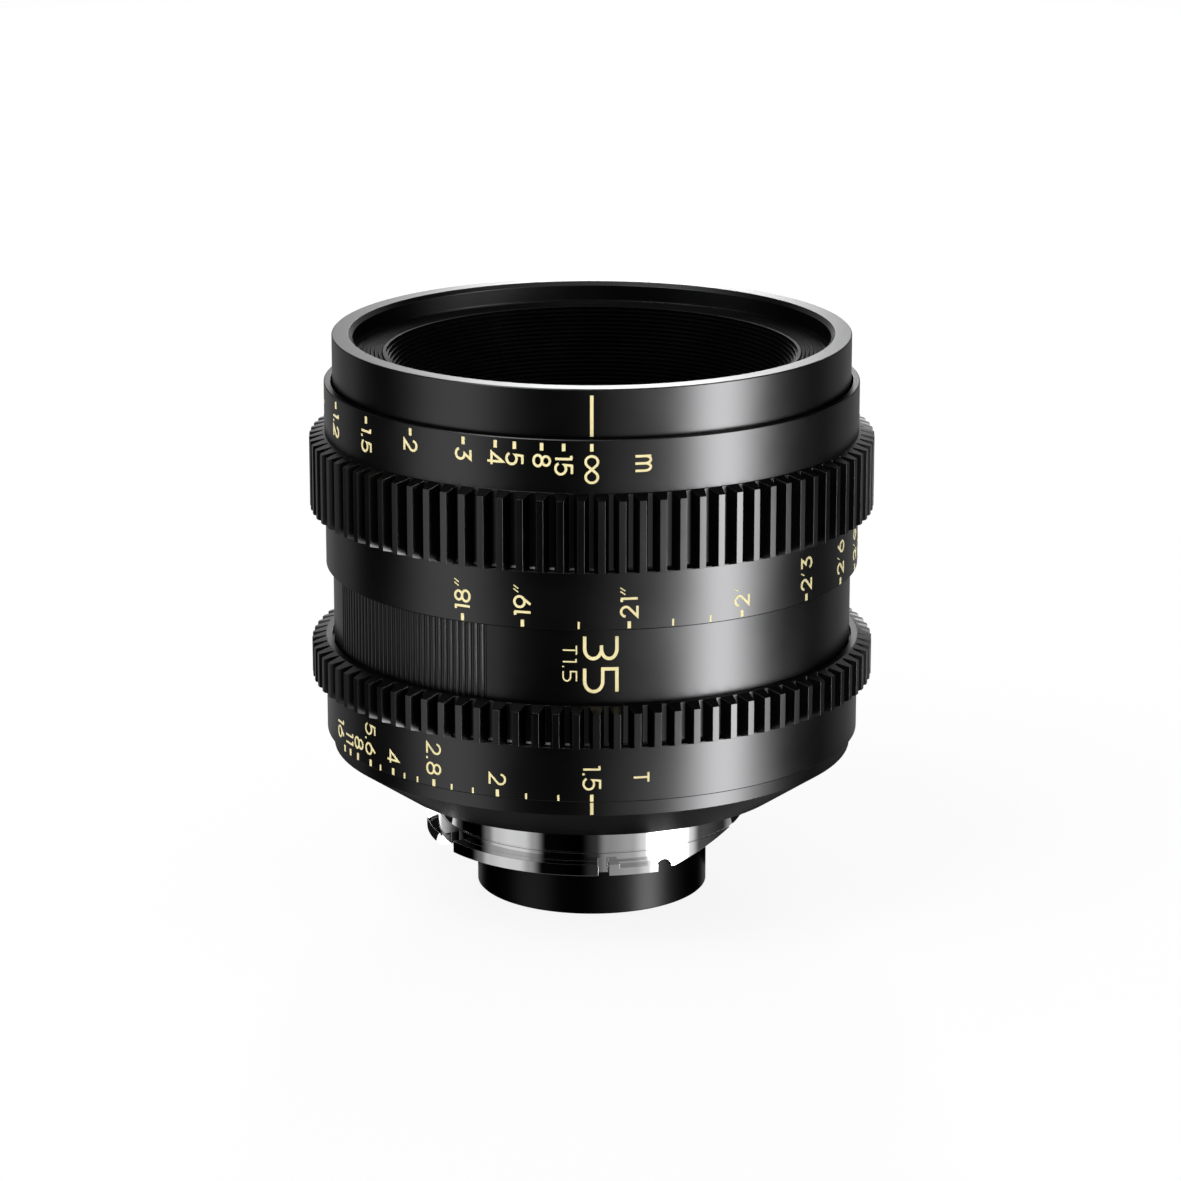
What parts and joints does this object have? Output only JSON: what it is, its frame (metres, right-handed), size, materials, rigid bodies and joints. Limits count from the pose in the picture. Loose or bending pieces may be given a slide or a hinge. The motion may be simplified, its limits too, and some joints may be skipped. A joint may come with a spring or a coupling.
{
  "type": "cinema prime lens",
  "caption": "Compact cine prime lens: black barrel with geared focus and iris rings, ribbed front baffle and chrome bayonet mount; the rings drive a cam-lifted optical block and iris.",
  "frame": {"origin": "centre of the bayonet mount's register face", "axes": "+Z along the optical axis to the front of the lens, -Y towards the index line"},
  "size_m": [0.0736, 0.0736, 0.0746],
  "materials": {
    "black_anodised": "satin black anodised, fine bead-blast grain",
    "matt_black": "matt anti-reflection black",
    "chrome": "polished chrome on brass",
    "steel": "plain turned steel",
    "bronze": "turned bearing bronze",
    "blackened_steel": "blackened, low sheen",
    "bead_enamel": "gloss black bead",
    "coated_glass": "polished, anti-reflection coated"
  },
  "bodies": {
    "barrel": {"front_ring": "black_anodised", "front_ring_screws": "steel", "front_baffle": "matt_black", "main_barrel": "black_anodised", "centre_sleeve": "black_anodised", "front_slip_ring": "bronze", "rear_slip_ring": "bronze", "iris_slip_ring": "bronze", "rear_barrel": "black_anodised", "barrel_screws": "steel", "bayonet_mount": "chrome", "mount_screws": "steel", "rear_guard": "black_anodised", "alignment_bead": "bead_enamel"},
    "focus": {"focus_ring": "black_anodised", "focus_ring_screws": "steel", "cam_sleeve": "bronze"},
    "iris": {"iris_ring": "black_anodised", "iris_drive_pin": "steel"},
    "optics": {"front_cell": "black_anodised", "cam_followers": "steel", "front_retainer": "matt_black", "front_spacer": "matt_black", "iris_base_plate": "blackened_steel", "iris_pillars": "steel", "rear_cell": "black_anodised", "rear_spacer_1": "matt_black", "rear_spacer_2": "matt_black", "rear_spacer_3": "matt_black", "rear_retainer": "matt_black", "element_1": "coated_glass", "element_2": "coated_glass", "element_3": "coated_glass", "element_4": "coated_glass", "element_5": "coated_glass", "element_6": "coated_glass", "element_7": "coated_glass", "element_8": "coated_glass", "element_9": "coated_glass"},
    "iris_drive": {"iris_drive_ring": "blackened_steel"},
    "blade_1": {"iris_blade_1": "blackened_steel"},
    "blade_2": {"iris_blade_2": "blackened_steel"},
    "blade_3": {"iris_blade_3": "blackened_steel"},
    "blade_4": {"iris_blade_4": "blackened_steel"},
    "blade_5": {"iris_blade_5": "blackened_steel"},
    "blade_6": {"iris_blade_6": "blackened_steel"},
    "blade_7": {"iris_blade_7": "blackened_steel"},
    "blade_8": {"iris_blade_8": "blackened_steel"},
    "blade_9": {"iris_blade_9": "blackened_steel"},
    "blade_10": {"iris_blade_10": "blackened_steel"}
  },
  "joints": [
    {"name": "focus_turn", "type": "hinge", "parent": "barrel", "child": "focus", "pos_m": [0, 0, 0.04], "axis": [0, 0, 1], "range_deg": [0, 210]},
    {"name": "focus_travel", "type": "slide", "parent": "barrel", "child": "optics", "axis": [0, 0, 1], "range_m": [0, 0.00315]},
    {"name": "iris_turn", "type": "hinge", "parent": "barrel", "child": "iris", "pos_m": [0, 0, 0.0135], "axis": [0, 0, 1], "range_deg": [0, 66]},
    {"name": "iris_drive_turn", "type": "hinge", "parent": "optics", "child": "iris_drive", "pos_m": [0, 0, 0.0177], "axis": [0, 0, 1], "range_deg": [0, 66]},
    {"name": "blade_1_swing", "type": "hinge", "parent": "optics", "child": "blade_1", "pos_m": [0.0174, 0, 0.0144], "axis": [0, 0, 1], "range_deg": [0, 38.62]},
    {"name": "blade_2_swing", "type": "hinge", "parent": "optics", "child": "blade_2", "pos_m": [0.01408, 0.01023, 0.0144], "axis": [0, 0, 1], "range_deg": [0, 38.62]},
    {"name": "blade_3_swing", "type": "hinge", "parent": "optics", "child": "blade_3", "pos_m": [0.00538, 0.01655, 0.0144], "axis": [0, 0, 1], "range_deg": [0, 38.62]},
    {"name": "blade_4_swing", "type": "hinge", "parent": "optics", "child": "blade_4", "pos_m": [-0.00538, 0.01655, 0.0144], "axis": [0, 0, 1], "range_deg": [0, 38.62]},
    {"name": "blade_5_swing", "type": "hinge", "parent": "optics", "child": "blade_5", "pos_m": [-0.01408, 0.01023, 0.0144], "axis": [0, 0, 1], "range_deg": [0, 38.62]},
    {"name": "blade_6_swing", "type": "hinge", "parent": "optics", "child": "blade_6", "pos_m": [-0.0174, 0, 0.0144], "axis": [0, 0, 1], "range_deg": [0, 38.62]},
    {"name": "blade_7_swing", "type": "hinge", "parent": "optics", "child": "blade_7", "pos_m": [-0.01408, -0.01023, 0.0144], "axis": [0, 0, 1], "range_deg": [0, 38.62]},
    {"name": "blade_8_swing", "type": "hinge", "parent": "optics", "child": "blade_8", "pos_m": [-0.00538, -0.01655, 0.0144], "axis": [0, 0, 1], "range_deg": [0, 38.62]},
    {"name": "blade_9_swing", "type": "hinge", "parent": "optics", "child": "blade_9", "pos_m": [0.00538, -0.01655, 0.0144], "axis": [0, 0, 1], "range_deg": [0, 38.62]},
    {"name": "blade_10_swing", "type": "hinge", "parent": "optics", "child": "blade_10", "pos_m": [0.01408, -0.01023, 0.0144], "axis": [0, 0, 1], "range_deg": [0, 38.62]}
  ],
  "couplings": [
    {"joint": "focus_travel", "follows": "focus_turn", "m_per_rad": 0.00085944},
    {"joint": "iris_drive_turn", "follows": "iris_turn", "ratio": 1},
    {"joint": "blade_1_swing", "follows": "iris_turn", "ratio": 0.585},
    {"joint": "blade_2_swing", "follows": "iris_turn", "ratio": 0.585},
    {"joint": "blade_3_swing", "follows": "iris_turn", "ratio": 0.585},
    {"joint": "blade_4_swing", "follows": "iris_turn", "ratio": 0.585},
    {"joint": "blade_5_swing", "follows": "iris_turn", "ratio": 0.585},
    {"joint": "blade_6_swing", "follows": "iris_turn", "ratio": 0.585},
    {"joint": "blade_7_swing", "follows": "iris_turn", "ratio": 0.585},
    {"joint": "blade_8_swing", "follows": "iris_turn", "ratio": 0.585},
    {"joint": "blade_9_swing", "follows": "iris_turn", "ratio": 0.585},
    {"joint": "blade_10_swing", "follows": "iris_turn", "ratio": 0.585}
  ]
}
